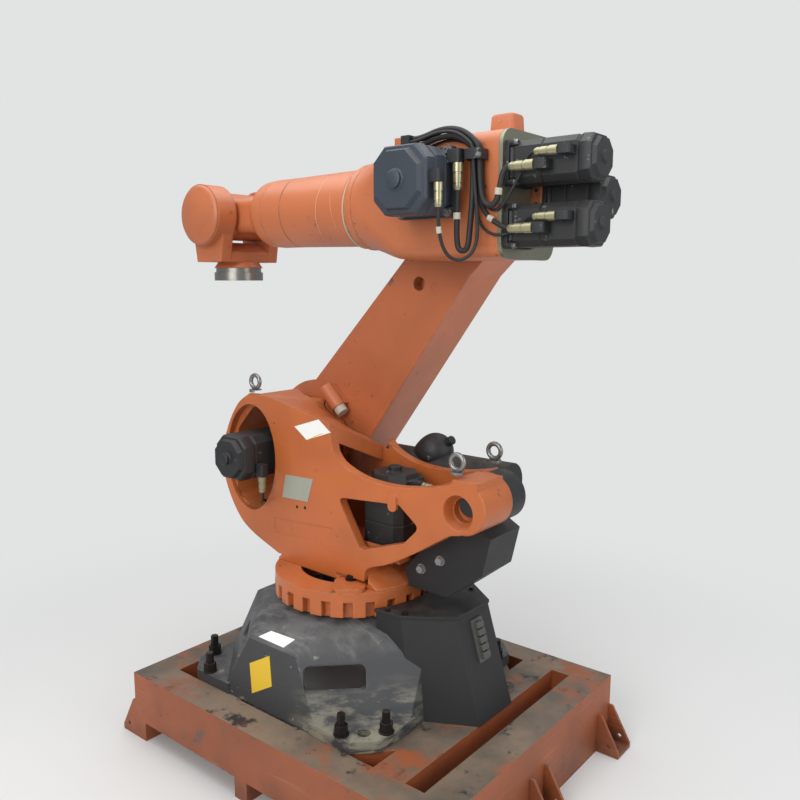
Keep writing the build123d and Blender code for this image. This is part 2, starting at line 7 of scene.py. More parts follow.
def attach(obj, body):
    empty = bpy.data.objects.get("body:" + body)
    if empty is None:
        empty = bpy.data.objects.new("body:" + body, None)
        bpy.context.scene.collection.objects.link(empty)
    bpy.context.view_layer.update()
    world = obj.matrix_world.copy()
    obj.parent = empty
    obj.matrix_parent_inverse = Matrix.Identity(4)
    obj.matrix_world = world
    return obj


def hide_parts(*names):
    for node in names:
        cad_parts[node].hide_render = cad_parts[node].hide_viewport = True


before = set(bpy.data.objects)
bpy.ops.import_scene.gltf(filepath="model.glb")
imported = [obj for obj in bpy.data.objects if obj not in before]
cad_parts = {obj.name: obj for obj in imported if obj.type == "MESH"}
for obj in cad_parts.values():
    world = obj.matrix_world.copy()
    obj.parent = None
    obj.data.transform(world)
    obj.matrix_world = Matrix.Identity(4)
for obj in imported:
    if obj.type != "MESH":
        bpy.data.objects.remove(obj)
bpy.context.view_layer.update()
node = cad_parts

# -------- camera
# Stands to the rear left of the robot at about head height, looking slightly down along the arm.
def put(name, data):
    """A new object in the scene."""
    thing = bpy.data.objects.new(name, data)
    bpy.context.scene.collection.objects.link(thing)
    return thing


eye = Vector((-2.268, 2.488, 2.005))
yaw, pitch, roll = math.radians(-51.0), math.radians(8.6), math.radians(0.1)
ahead = Vector((math.cos(yaw) * math.cos(pitch), math.sin(yaw) * math.cos(pitch), -math.sin(pitch)))
right = ahead.cross(Vector((0, 0, 1))).normalized()
up = right.cross(ahead)
side = right * math.cos(roll) + up * math.sin(roll)
top = up * math.cos(roll) - right * math.sin(roll)
camera_data = bpy.data.cameras.new("camera")
camera_data.lens, camera_data.sensor_width, camera_data.sensor_fit = 36.0, 36.0, "HORIZONTAL"
camera_data.clip_end = 60
camera = put("camera", camera_data)
camera.matrix_world = Matrix((side, top, -ahead)).transposed().to_4x4()
camera.location = eye
bpy.context.scene.camera = camera
bpy.context.scene.view_settings.view_transform = "Standard"


# -------- floor and light
# Pale studio floor that runs into the backdrop, a broad lamp above, a window side and a soft fill.
def linear(r, g, b):
    """A colour written as 0-255 screen values, as the shader's linear values."""
    return tuple((v / 255 / 12.92 if v / 255 <= 0.04045 else ((v / 255 + 0.055) / 1.055) ** 2.4) for v in (r, g, b)) + (1,)


def fill(made, values):
    """Give a node's inputs their values by name."""
    for label, value in values.items():
        made.inputs[label].default_value = value


def lamp(name, size, power, place, target, tint=(1, 1, 1)):
    data = bpy.data.lights.new(name, "AREA")
    data.shape, data.size, data.size_y, data.energy, data.color = "RECTANGLE", size[0], size[1], power, tint
    light = put(name, data)
    light.location = place
    light.rotation_euler = (Vector(target) - Vector(place)).to_track_quat("-Z", "Y").to_euler()


lamp("ceiling_light", (6.0, 6.0), 250, (0.2, 0.2, 5.4), (0, 0, 1.0))
lamp("window_light", (3.5, 3.0), 170, (-1.2, 5.2, 3.4), (0, 0, 1.2), (1.0, 0.99, 0.97))
lamp("fill_light", (3.0, 3.0), 80, (-5.0, -0.6, 2.6), (0, 0, 1.2), (0.96, 0.98, 1.0))
backdrop = linear(226, 227, 227)
world = bpy.data.worlds.new("studio")
bpy.context.scene.world = world
world.use_nodes = True
sky = world.node_tree
fill(sky.nodes["Background"], {"Color": (0.93, 0.95, 1.0, 1), "Strength": 0.42})
plain = sky.nodes.new("ShaderNodeBackground")
fill(plain, {"Color": backdrop})
rays = sky.nodes.new("ShaderNodeLightPath")
pick = sky.nodes.new("ShaderNodeMixShader")
for source, target in ((rays.outputs["Is Camera Ray"], pick.inputs["Fac"]), (sky.nodes["Background"].outputs[0], pick.inputs[1]),
                       (plain.outputs[0], pick.inputs[2]), (pick.outputs[0], sky.nodes["World Output"].inputs[0])):
    sky.links.new(source, target)

floor_half = 14
floor_mesh = bpy.data.meshes.new("floor")
floor_mesh.from_pydata([(x * floor_half, y * floor_half, 0) for x, y in ((-1, -1), (1, -1), (1, 1), (-1, 1))], [], [(0, 1, 2, 3)])
floor = put("floor", floor_mesh)
concrete = bpy.data.materials.new("pale_floor")
concrete.use_nodes = True
ground = concrete.node_tree
fill(ground.nodes["Principled BSDF"], {"Base Color": linear(214, 214, 212), "Roughness": 0.8})
# away from the robot the floor takes the backdrop's own tone, so no horizon shows
glow, reach, fade, seen, blend = [ground.nodes.new("ShaderNode" + kind) for kind in ("Emission", "VectorMath", "MapRange", "Math", "MixShader")]
fill(glow, {"Color": backdrop})
reach.operation, seen.operation, fade.interpolation_type = "LENGTH", "MULTIPLY", "SMOOTHSTEP"
fill(fade, {"From Min": 1.1, "From Max": 3.4})
for source, target in ((ground.nodes.new("ShaderNodeTexCoord").outputs["Object"], reach.inputs[0]), (reach.outputs["Value"], fade.inputs["Value"]),
                       (fade.outputs["Result"], seen.inputs[0]), (ground.nodes.new("ShaderNodeLightPath").outputs["Is Camera Ray"], seen.inputs[1]),
                       (seen.outputs[0], blend.inputs["Fac"]), (ground.nodes["Principled BSDF"].outputs[0], blend.inputs[1]),
                       (glow.outputs[0], blend.inputs[2]), (blend.outputs[0], ground.nodes["Material Output"].inputs["Surface"])):
    ground.links.new(source, target)
floor_mesh.materials.append(concrete)


# -------- stand
# Welded frame of box beams on three runners with anchor brackets, in orange paint that is scraped
# and black with oil on the deck. The grime and chips are node groups that the other finishes share.
def group(name, ins):
    """An empty shader node group with float or colour inputs, and a colour and a mask coming out."""
    tree = bpy.data.node_groups.new(name, "ShaderNodeTree")
    for label, value in ins:
        kind = "NodeSocketColor" if isinstance(value, tuple) else "NodeSocketFloat"
        tree.interface.new_socket(label, in_out="INPUT", socket_type=kind).default_value = value
    for label, kind in (("Colour", "NodeSocketColor"), ("Mask", "NodeSocketFloat")):
        tree.interface.new_socket(label, in_out="OUTPUT", socket_type=kind)
    return tree, tree.nodes.new("NodeGroupInput"), tree.nodes.new("NodeGroupOutput")


def math_node(tree, kind, a, b=None, clamp=False):
    made = tree.nodes.new("ShaderNodeMath")
    made.operation, made.use_clamp = kind, clamp
    for k, value in enumerate((a, b)):
        if isinstance(value, (int, float)):
            made.inputs[k].default_value = value
        elif value is not None:
            tree.links.new(value, made.inputs[k])
    return made.outputs[0]


def product(tree, first, *others, clamp=False):
    """The inputs multiplied together, held to 0-1 at the end where `clamp` is set."""
    for k, other in enumerate(others):
        first = math_node(tree, "MULTIPLY", first, other, clamp and k == len(others) - 1)
    return first


def axes(tree, kind):
    """X, Y and Z of the "Object" or "Normal" coordinates."""
    parts = tree.nodes.new("ShaderNodeSeparateXYZ")
    tree.links.new(tree.nodes.new("ShaderNodeTexCoord").outputs[kind], parts.inputs[0])
    return parts.outputs


def noise_node(tree, scale, detail=4.0, rough=0.55, stretch=None, turn=(0, 0, 0)):
    """Noise on Object coordinates; `scale` is a number or a socket, `stretch` squeezes it along an axis."""
    place = tree.nodes.new("ShaderNodeTexCoord").outputs["Object"]
    if stretch:
        mapping = tree.nodes.new("ShaderNodeMapping")
        fill(mapping, {"Scale": stretch, "Rotation": turn})
        tree.links.new(place, mapping.inputs["Vector"])
        place = mapping.outputs["Vector"]
    made = tree.nodes.new("ShaderNodeTexNoise")
    fill(made, {"Detail": detail, "Roughness": rough})
    tree.links.new(place, made.inputs["Vector"])
    if isinstance(scale, (int, float)):
        fill(made, {"Scale": scale})
    else:
        tree.links.new(scale, made.inputs["Scale"])
    return made.outputs["Fac"]


def ramp_node(tree, value, low, high):
    made = tree.nodes.new("ShaderNodeMapRange")
    made.interpolation_type = "SMOOTHSTEP"
    fill(made, {"From Min": low, "From Max": high})
    tree.links.new(value, made.inputs["Value"])
    return made.outputs["Result"]


def blotches(tree, low, high, *noise):
    """Noise (scale, detail, roughness, stretch, turn) drawn out between two levels."""
    return ramp_node(tree, noise_node(tree, *noise), low, high)


def mix_node(tree, mask, a, b):
    made = tree.nodes.new("ShaderNodeMix")
    made.data_type = "RGBA"
    colours = [s for s in made.inputs if s.type == "RGBA"]
    for target, value in ((made.inputs[0], mask), (colours[0], a), (colours[1], b)):
        if isinstance(value, (int, float, tuple)):
            target.default_value = value
        else:
            tree.links.new(value, target)
    return [s for s in made.outputs if s.type == "RGBA"][0]


# cloudy change of shade, fine specks of dirt and dust lying on what faces up
grime, g_in, g_out = group("workshop_grime", [("Colour", (0.5, 0.5, 0.5, 1)), ("Dirt Colour", (0.03, 0.02, 0.015, 1)),
                                              ("Dust Colour", (0.3, 0.28, 0.25, 1)), ("Shade", 0.25), ("Dirt", 0.3), ("Dust", 0.2)])
cloud = blotches(grime, 0.3, 0.72, 2.2, 3)
mottled = mix_node(grime, product(grime, cloud, g_in.outputs["Shade"]), g_in.outputs["Colour"], g_in.outputs["Dirt Colour"])
specks = blotches(grime, 0.56, 0.72, 26, 8, 0.7)
patches = blotches(grime, 0.5, 0.66, 5.0, 5, 0.6)
dirt_mask = product(grime, specks, patches, g_in.outputs["Dirt"], clamp=True)
dirty = mix_node(grime, dirt_mask, mottled, g_in.outputs["Dirt Colour"])
upward = ramp_node(grime, axes(grime, "Normal")["Z"], 0.35, 0.95)
dust_mask = product(grime, upward, blotches(grime, 0.3, 0.7, 9, 6, 0.65), g_in.outputs["Dust"], clamp=True)
grime.links.new(mix_node(grime, dust_mask, dirty, g_in.outputs["Dust Colour"]), g_out.inputs["Colour"])
grime.links.new(math_node(grime, "ADD", dirt_mask, dust_mask, True), g_out.inputs["Mask"])

# small chips where the paint is off, with a ragged edge
chips, c_in, c_out = group("paint_chips", [("Paint", (0.5, 0.2, 0.1, 1)), ("Under", (0.2, 0.18, 0.16, 1)), ("Amount", 0.5), ("Scale", 7.0)])
broad = noise_node(chips, c_in.outputs["Scale"], 9, 0.72)
gate = blotches(chips, 0.45, 0.75, 1.7, 3)
level = math_node(chips, "ADD", broad, product(chips, gate, c_in.outputs["Amount"], 0.22))
chip_mask = ramp_node(chips, level, 0.635, 0.66)
chips.links.new(mix_node(chips, chip_mask, c_in.outputs["Paint"], c_in.outputs["Under"]), c_out.inputs["Colour"])
chips.links.new(chip_mask, c_out.inputs["Mask"])


def finish_of(name, colour, rough, metal=0.0, dirt_colour=(0.03, 0.02, 0.015, 1), dust_colour=(0.33, 0.30, 0.27, 1),
              shade=0.25, dirt=0.35, dust=0.25, skin_scale=260.0, skin=0.05, chip=0.0, chip_scale=7.0,
              under=(0.16, 0.15, 0.14, 1), coat=0.0, rough_spread=0.18, edge=0.0, worn_and_highlit_edge_colour=None, overlay=None):
    """A painted, cast or plated finish with its own grime, chips, skin texture and softened edges, lightened partly by
    wear and partly by a painted highlight.
    """
    made = bpy.data.materials.new(name)
    made.use_nodes = True
    tree = made.node_tree
    shader = tree.nodes["Principled BSDF"]
    dirtying = tree.nodes.new("ShaderNodeGroup")
    dirtying.node_tree = grime
    fill(dirtying, {"Colour": colour, "Dirt Colour": dirt_colour, "Dust Colour": dust_colour, "Shade": shade, "Dirt": dirt, "Dust": dust})
    base, worn = dirtying.outputs["Colour"], None
    if chip > 0:
        chipping = tree.nodes.new("ShaderNodeGroup")
        chipping.node_tree = chips
        tree.links.new(base, chipping.inputs["Paint"])
        fill(chipping, {"Under": under, "Amount": chip, "Scale": chip_scale})
        base, worn = chipping.outputs["Colour"], chipping.outputs["Mask"]
    if overlay:
        base = overlay(tree, base)
    bump = tree.nodes.new("ShaderNodeBump")
    if edge > 0:
        soft = tree.nodes.new("ShaderNodeBevel")
        soft.samples = 4
        fill(soft, {"Radius": edge})
        tree.links.new(soft.outputs["Normal"], bump.inputs["Normal"])
        # rounded edges are lightened: partly paint worn off, partly a painted highlight along the edge
        if worn_and_highlit_edge_colour:
            agree = tree.nodes.new("ShaderNodeVectorMath")
            agree.operation = "DOT_PRODUCT"
            tree.links.new(soft.outputs["Normal"], agree.inputs[0])
            tree.links.new(tree.nodes.new("ShaderNodeNewGeometry").outputs["Normal"], agree.inputs[1])
            worn_and_highlit_edges = ramp_node(tree, math_node(tree, "SUBTRACT", 1.0, agree.outputs["Value"]), 0.01, 0.16)
            ragged = blotches(tree, 0.3, 0.75, 30, 5, 0.6)
            base = mix_node(tree, product(tree, worn_and_highlit_edges, ragged, 0.75), base, worn_and_highlit_edge_colour)
    tree.links.new(base, shader.inputs["Base Color"])
    dull = product(tree, dirtying.outputs["Mask"], rough_spread * 2)
    uneven = product(tree, math_node(tree, "SUBTRACT", noise_node(tree, 14, 4), 0.5), rough_spread)
    roughness = math_node(tree, "ADD", math_node(tree, "ADD", rough, dull), uneven)
    tree.links.new(roughness, shader.inputs["Roughness"])
    fill(shader, {"Metallic": metal, "Coat Weight": coat, "Coat Roughness": 0.25})
    fill(bump, {"Strength": skin, "Distance": 0.004})
    height = noise_node(tree, skin_scale, 3)
    if worn is not None:
        height = math_node(tree, "SUBTRACT", height, product(tree, worn, 1.5))
    tree.links.new(height, bump.inputs["Height"])
    tree.links.new(bump.outputs["Normal"], shader.inputs["Normal"])
    return made


def deck_wear(tree, base):
    """Oil-black film over the deck with rubbed patches of paint, long scrapes on the sides, and painted shade darkening
    the bottom of the frame.
    """
    flat = ramp_node(tree, axes(tree, "Normal")["Z"], 0.6, 0.9)
    film = blotches(tree, 0.36, 0.5, 3.1, 9, 0.66)
    smeared = mix_node(tree, blotches(tree, 0.35, 0.68, 2.1, 6, 0.6), linear(84, 76, 66), linear(128, 110, 92))
    black = mix_node(tree, blotches(tree, 0.56, 0.64, 7.0, 7, 0.7), smeared, linear(38, 35, 33))
    decked = mix_node(tree, product(tree, flat, film), base, black)
    scrape = blotches(tree, 0.64, 0.67, 5.0, 6, 0.6, (0.35, 0.35, 34.0))
    standing = math_node(tree, "SUBTRACT", 1.0, flat, True)
    scraped = mix_node(tree, product(tree, scrape, standing, 0.6), decked, linear(168, 132, 112))
    # painted shade: the lowest part of the frame is darkened towards the floor
    low = ramp_node(tree, math_node(tree, "SUBTRACT", 0.14, axes(tree, "Object")["Z"]), -0.05, 0.12)
    bottom_painted_shade = product(tree, low, 0.55, blotches(tree, 0.3, 0.7, 4, 6, 0.6))
    return mix_node(tree, bottom_painted_shade, scraped, linear(58, 42, 34))


def dress(names, material):
    for name in names:
        mesh = node[name].data
        mesh.materials.clear()
        mesh.materials.append(material)


stand_paint = finish_of("stand_paint", linear(158, 84, 46), 0.5, dirt_colour=linear(70, 42, 30), dust_colour=linear(120, 98, 82),
                        shade=0.4, dirt=0.6, dust=0.3, skin_scale=160, skin=0.2, chip=0.35, chip_scale=9, under=linear(96, 78, 66),
                        edge=0.003, worn_and_highlit_edge_colour=linear(176, 120, 92), overlay=deck_wear)
dress([n for n in node if n.startswith(("stand_", "anchor_"))], stand_paint)


# -------- base casting
# Cast iron foot of the robot: sloping eight-sided body with a window in each corner face, four feet
# and a round neck, in graphite paint. Made from rings of points in millimetres, with cut-outs.
def prism(outline, axis, start, end):
    """Closed shell over a flat outline; `axis` is the way it is drawn out."""
    place = {"X": lambda p, t: (t, p[0], p[1]), "Y": lambda p, t: (p[0], t, p[1]), "Z": lambda p, t: (p[0], p[1], t)}[axis]
    return rings([[place(p, t) for p in outline] for t in (start, end)])


def rings(stack):
    """Closed shell through a stack of rings that have the same number of points."""
    count = len(stack[0])
    points = [p for ring in stack for p in ring]
    faces = [tuple(range(count)), tuple(range(len(points) - count, len(points)))]
    for level in range(len(stack) - 1):
        for k in range(count):
            a, b = level * count + k, level * count + (k + 1) % count
            faces.append((a, b, b + count, a + count))
    return points, faces


def turned(profile, origin, way, steps=40):
    """Turned shell: `profile` is (distance along the axis, radius)."""
    way = Vector(way).normalized()
    across = way.orthogonal().normalized()
    third = way.cross(across)
    stack = []
    for along, radius in profile:
        centre = Vector(origin) + way * along
        stack.append([centre + (across * math.cos(2 * math.pi * k / steps) + third * math.sin(2 * math.pi * k / steps)) * radius
                      for k in range(steps)])
    return rings(stack)


def rounded(width, height, corner, centre=(0, 0), steps=5):
    """Outline of a rectangle with round corners."""
    points = []
    for cx, cy, first in ((1, 1, 0), (-1, 1, 90), (-1, -1, 180), (1, -1, 270)):
        for k in range(steps + 1):
            angle = math.radians(first + 90 * k / steps)
            points.append((centre[0] + cx * (width / 2 - corner) + corner * math.cos(angle),
                           centre[1] + cy * (height / 2 - corner) + corner * math.sin(angle)))
    return points


def eight_sided(flat, corner):
    """Eight-sided outline whose flats lie at `flat` from the axis and whose cut corners lie at `corner`."""
    half = math.sqrt(2) * corner - flat
    return [(flat, half), (half, flat), (-half, flat), (-flat, half), (-flat, -half), (-half, -flat), (half, -flat), (flat, -half)]


def eight_rings(levels):
    """Eight-sided shell through levels of (flat, corner, z)."""
    return rings([[(x, y, z) for x, y in eight_sided(flat, corner)] for flat, corner, z in levels])


def swung(shell, degrees):
    """The shell turned about the robot's own upright axis."""
    turn = Matrix.Rotation(math.radians(degrees), 3, "Z")
    return [turn @ Vector(p) for p in shell[0]], shell[1]


def as_mesh(name, shells):
    mesh = bpy.data.meshes.new(name)
    points, faces = [], []
    for shell in shells:
        faces += [tuple(k + len(points) for k in face) for face in shell[1]]
        points += [tuple(v * 0.001 for v in p) for p in shell[0]]
    mesh.from_pydata(points, [], faces)
    work = bmesh.new()
    work.from_mesh(mesh)
    bmesh.ops.recalc_face_normals(work, faces=work.faces)
    work.to_mesh(mesh)
    work.free()
    return mesh


def drawn_mesh(thing):
    """The object's mesh as it is drawn; the object itself is removed."""
    mesh = bpy.data.meshes.new_from_object(thing.evaluated_get(bpy.context.evaluated_depsgraph_get()))
    bpy.data.objects.remove(thing)
    return mesh


def carve(shells, *tools, kind="DIFFERENCE"):
    """The shells with others cut away from them or fused to them, one after the other, as one shell."""
    for tool in tools:
        blank, cutter = put("blank", as_mesh("blank", shells)), put("cutter", as_mesh("cutter", [tool]))
        step = blank.modifiers.new("step", "BOOLEAN")
        step.object, step.operation, step.solver, step.use_self = cutter, kind, "EXACT", False
        result = drawn_mesh(blank)
        bpy.data.objects.remove(cutter)
        shells = [([tuple(v.co * 1000) for v in result.vertices], [tuple(p.vertices) for p in result.polygons])]
    return shells


def settle(name, mesh, body, replaces=(), sharp=32):
    """Smooth the faces up to `sharp` degrees, and hand the piece to its body."""
    mesh.name = name
    mesh.shade_smooth()
    mesh.set_sharp_from_angle(angle=math.radians(sharp))
    thing = put(name, mesh)
    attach(thing, body)
    if replaces:
        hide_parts(*replaces)


def piece(name, shells, material, body, replaces=(), sharp=32):
    mesh = as_mesh(name, shells)
    mesh.materials.append(material)
    settle(name, mesh, body, replaces, sharp)


def foot_scuffs(tree, base):
    """Pale dry paint rubbed over the corner that faces the camera, and a dusty shoulder."""
    place = axes(tree, "Object")
    corner = math_node(tree, "SUBTRACT", place["Y"], place["X"])
    near = ramp_node(tree, corner, 0.60, 0.84)
    low = ramp_node(tree, math_node(tree, "SUBTRACT", 0.50, place["Z"]), -0.03, 0.10)
    streak = blotches(tree, 0.47, 0.62, 5.5, 6, 0.68, (1.0, 1.0, 3.4), (0, 0.5, 0.6))
    scuffed = mix_node(tree, product(tree, near, low, streak, 0.75), base, linear(150, 146, 126))
    wipes = blotches(tree, 0.5, 0.72, 4.0, 7, 0.7, (1.0, 6.0, 1.0), (0, 0, 0.7))
    high = ramp_node(tree, place["Z"], 0.52, 0.6)
    return mix_node(tree, product(tree, wipes, high, 0.45), scuffed, linear(142, 142, 140))


graphite = finish_of("graphite_casting_paint", linear(60, 61, 63), 0.5, dirt_colour=linear(32, 32, 33), dust_colour=linear(120, 120, 118),
                     shade=0.3, dirt=0.4, dust=0.55, skin_scale=300, skin=0.2, chip=0.2, chip_scale=14, under=linear(120, 116, 108),
                     edge=0.007, worn_and_highlit_edge_colour=linear(104, 104, 103), overlay=foot_scuffs)
ahead_x, rear_way, near_way, far_way, up_way = (1, 0, 0), (-1, 0, 0), (0, 1, 0), (0, -1, 0), (0, 0, 1)
bolt_circle, foot_cut, foot_low, foot_high, window_z, window_shift = 625, 685, 300.2, 346, 486, 102
foot_reach = math.sqrt(2) * (bolt_circle + 117.5) / 2
foot_outline = []
for corner in range(4):
    # each foot: a cut corner with a short flat to each side, the span between two feet stands back
    half = math.sqrt(2) * foot_cut - foot_reach
    for x, y in ((foot_reach, 235), (foot_reach, half), (half, foot_reach), (235, foot_reach), (235, 500), (-235, 500)):
        turn = math.radians(90 * corner)
        foot_outline.append((x * math.cos(turn) - y * math.sin(turn), x * math.sin(turn) + y * math.cos(turn)))
body_rings = eight_rings(((520, 566, 300.5), (490, 442, 566), (392, 392, 619), (300, 300, 651)))
hollow = eight_rings(((492, 538, 290), (462, 414, 545), (240, 240, 600), (240, 240, 700)))
neck = turned([(0, 300), (60, 300)], (0, 0, 595), up_way, 64)
windows = [swung(prism(rounded(240, 92, 24, (-window_shift * (-1) ** quarter, window_z)), "Y", 300, 700), 90 * quarter - 45)
           for quarter in range(4)]
bolt_side = bolt_circle * math.sin(math.pi / 4)
near_hole = turned([(0, 26), (80, 26)], (-bolt_side, bolt_side, 290), up_way, 16)
base_shells = carve([prism(foot_outline, "Z", foot_low, foot_high)], body_rings, neck, kind="UNION")
piece("base_body", carve(base_shells, hollow, *windows, near_hole), graphite, "base", ["base_casting"], 28)
bearing_steel = finish_of("bearing_steel", linear(92, 90, 86), 0.4, metal=0.8, dirt_colour=linear(40, 36, 30), shade=0.5, dirt=0.6, dust=0.1)
dress(["slew_bearing"], bearing_steel)


# -------- cable housing
# Black sheet housing behind the base with a bolted lid and a connector panel on its near side.
black_sheet = finish_of("black_sheet", linear(34, 34, 36), 0.55, dirt_colour=linear(24, 23, 22), dust_colour=linear(98, 94, 88),
                        shade=0.3, dirt=0.35, dust=0.35, skin_scale=380, skin=0.12, edge=0.003, worn_and_highlit_edge_colour=linear(70, 69, 68))
dress(["cable_housing", "housing_lid", "cable_bracket"], black_sheet)
panel_grey = finish_of("panel_grey", linear(96, 96, 92), 0.45, metal=0.4, dirt=0.3, dust=0.2, edge=0.002)
dress(["connector_panel"], panel_grey)


# -------- turntable and column
# Orange casting that turns on the base: low dome, two side walls with an open hollow between them,
# a falling roof, the eye of the link drive, a three-cornered window and a cross barrel at the rear.
def smooth(points, steps=5):
    """Open curve through the points."""
    points = [Vector(p) for p in points]
    ends = [points[0] * 2 - points[1]] + points + [points[-1] * 2 - points[-2]]
    result = []
    for a, b, c, d in zip(ends, ends[1:], ends[2:], ends[3:]):
        for k in range(steps):
            t = k / steps
            result.append(0.5 * (2 * b + (c - a) * t + (2 * a - 5 * b + 4 * c - d) * t * t + (3 * b - a - 3 * c + d) * t ** 3))
    return [tuple(p) for p in result + [points[-1]]]


def oval(rx, rz, centre, turn=0.0, steps=56):
    spin = math.radians(turn)
    return [(centre[0] + rx * math.cos(a) * math.cos(spin) - rz * math.sin(a) * math.sin(spin),
             centre[1] + rx * math.cos(a) * math.sin(spin) + rz * math.sin(a) * math.cos(spin))
            for a in (2 * math.pi * k / steps for k in range(steps))]


def blunted(points, radius, steps=5):
    """Closed outline with every corner rounded."""
    result = []
    for k, here in enumerate(points):
        here, before, after = Vector(here), Vector(points[k - 1]), Vector(points[(k + 1) % len(points)])
        a, b = (before - here).normalized(), (after - here).normalized()
        reach = radius / math.tan(a.angle(b) / 2)
        for s in range(steps + 1):
            t = s / steps
            result.append(tuple((here + a * reach) * (1 - t) ** 2 + here * 2 * t * (1 - t) + (here + b * reach) * t * t))
    return result


def ring_cut(inner, outer, centre, start, end, steps=72):
    """Shell of a ring groove along Y."""
    stack = []
    for radius, y in ((inner, start), (outer, start), (outer, end), (inner, end), (inner, start)):
        stack.append([(x, y, z) for x, z in oval(radius, radius, centre, 0, steps)])
    points = [p for ring in stack[:4] for p in ring]
    faces = []
    for level in range(4):
        for k in range(steps):
            n = (k + 1) % steps
            a, b = level * steps, (level + 1) % 4 * steps
            faces.append((a + k, a + n, b + n, b + k))
    return points, faces


orange = finish_of("orange_casting_paint", linear(190, 101, 48), 0.42, dirt_colour=linear(96, 50, 26), dust_colour=linear(206, 140, 104),
                   shade=0.34, dirt=0.4, dust=0.3, skin_scale=240, skin=0.14, chip=0.16, chip_scale=16, under=linear(110, 74, 52),
                   edge=0.008, worn_and_highlit_edge_colour=linear(214, 134, 88), coat=0.12)
near_y, far_y, wall, floor_z, ring_top = 190, -200, 42, 880, 773
pocket_turn, lean_angle = 128, math.radians(2.5)
eye_ring, link_axis, barrel = (462, 1212), (415, 1245), (-692, 1189)
dome = turned([(0, 345), (8, 345), (24, 322), (60, 263), (95, 194), (113, 100), (114, 20)], (0, 0, ring_top), up_way, 96)
pocket = swung(prism([(180, -75), (400, -75), (400, 75), (180, 75)], "Z", ring_top + 10, ring_top + 170), pocket_turn)
dome = carve([dome], pocket)[0]
outline = (smooth([(300, 800), (475, 862), (567, 925), (642, 1045), (672, 1190), (613, 1342), (535, 1450), (449, 1506)])
           + [(300, 1512), (85, 1468), (-30, 1446)]
           + smooth([(-50, 1345), (-64, 1302), (-113, 1261), (-219, 1227), (-345, 1218), (-466, 1229), (-581, 1253), (-668, 1283)])
           + [(-692, 1289), (-692, 1089)]
           + smooth([(-640, 1078), (-583, 1042), (-467, 968), (-345, 901), (-240, 858), (-220, 800)]))
# in front of the oblique crease the near side leans back
crease = [Vector((412, near_y, 1492)), Vector((-136, near_y, 925))]
crease_way = (crease[1] - crease[0]).normalized()
front = Vector((-crease_way.z, 0, crease_way.x))
lean = Vector((0, math.cos(lean_angle), 0)) + front * math.sin(lean_angle)
across = lean.cross(crease_way)
corners = [crease[0] + crease_way * u + across * v for u, v in ((-900, -1500), (1700, -1500), (1700, 1500), (-900, 1500))]
lean_cut = rings([corners, [p + lean * 200 for p in corners]])
far_end = prism([(-900, 900), (-600, 900), (-600, 1500), (-900, 1500)], "Y", far_y - 20, 0)
cross_barrel = turned([(0, 96), (4, 100), (186, 100), (190, 96)], (barrel[0], 0, barrel[1]), near_way, 64)
eyebolt_pad = prism([(-760, 1251), (-650, 1251), (-650, 1291), (-760, 1291)], "Y", 24, 190)
roof = rings([[(x, near_y + 5, z) for x, z in ((508, 1510), (300, 1500), (85, 1455), (-30, 1433), (-80, 1424), (-80, 1700), (508, 1700))],
              [(x, far_y - 5, z) for x, z in ((508, 1504), (361, 1435), (235, 1342), (90, 1290), (-61, 1241), (-61, 1700), (508, 1700))]])
hollow_front = ((250, floor_z), (450, 930), (590, 1020), (636, 1190), (575, 1335))
hollow_rear = ((-575, 1700), (-575, 1120), (-430, 1005), (-250, floor_z))
near_roof = ((480, 1435), (400, 1452), (300, 1440), (85, 1385), (-52, 1339), (-52, 1700))
far_roof = ((500, 1425), (440, 1425), (361, 1398), (235, 1303), (-30, 1210), (-30, 1700))
inside = rings([[(x, y, z) for x, z in hollow_front + under_roof + hollow_rear]
                for y, under_roof in ((near_y - wall, near_roof), (far_y + wall, far_roof))])
eye_hole = prism(oval(166, 246, eye_ring, 8), "Y", near_y + 10, near_y - wall - 2)
window = prism(blunted([(-80, 1126), (-402, 1151), (-500, 1078), (-425, 1003), (-203, 928)], 24), "Y", near_y + 10, near_y - wall - 4)
recess = turned([(-4, 67), (44, 50), (44, 47), (75, 47)], (-675, near_y, 1170), far_way, 48)
reducer_seat = turned([(-2, 198), (wall + 60, 198)], (link_axis[0], far_y, link_axis[1]), near_way, 72)
stop_groove = ring_cut(202, 312, link_axis, far_y - 5, far_y + wall + 36)
column = carve([prism(outline, "Y", near_y, far_y)], dome, kind="UNION")
column = carve(carve(column, lean_cut, far_end), cross_barrel, eyebolt_pad, kind="UNION")
column = carve(column, roof, inside, eye_hole, window, recess, reducer_seat, stop_groove)
column.append(prism(rounded(42, 68, 18, (-374, 1156)), "Y", near_y - 4, near_y + 9))
column.append(prism([(-346, floor_z), (-110, floor_z), (-110, 900), (-346, 900)], "Y", -118, 118))
column.append(prism([(-320, floor_z - 2), (-80, floor_z - 2), (-80, floor_z + 62), (-320, floor_z + 62)], "Y", 118, 130))
column.append(swung(prism(rounded(140, 130, 34, (274, 0)), "Z", ring_top - 4, ring_top + 16), pocket_turn))


def near_face(x, z, lift=0.0):
    """Point on the near side of the column, which leans back in front of the crease."""
    offset = (Vector((x, near_y, z)) - crease[0]).dot(front)
    return (x, near_y - max(0.0, offset) * math.tan(lean_angle) + lift, z)


# the bare recessed rectangle below the eye
name_corners = ((325, 960), (-48, 988), (-39, 916), (313, 893))
column = carve(column, rings([[near_face(x, z, 20) for x, z in name_corners], [near_face(x, z, -2.5) for x, z in name_corners]]))
piece("column_body", column, orange, "column", ["column_casting"], 26)
dress(["turntable_ring", "a2_reducer"], orange)


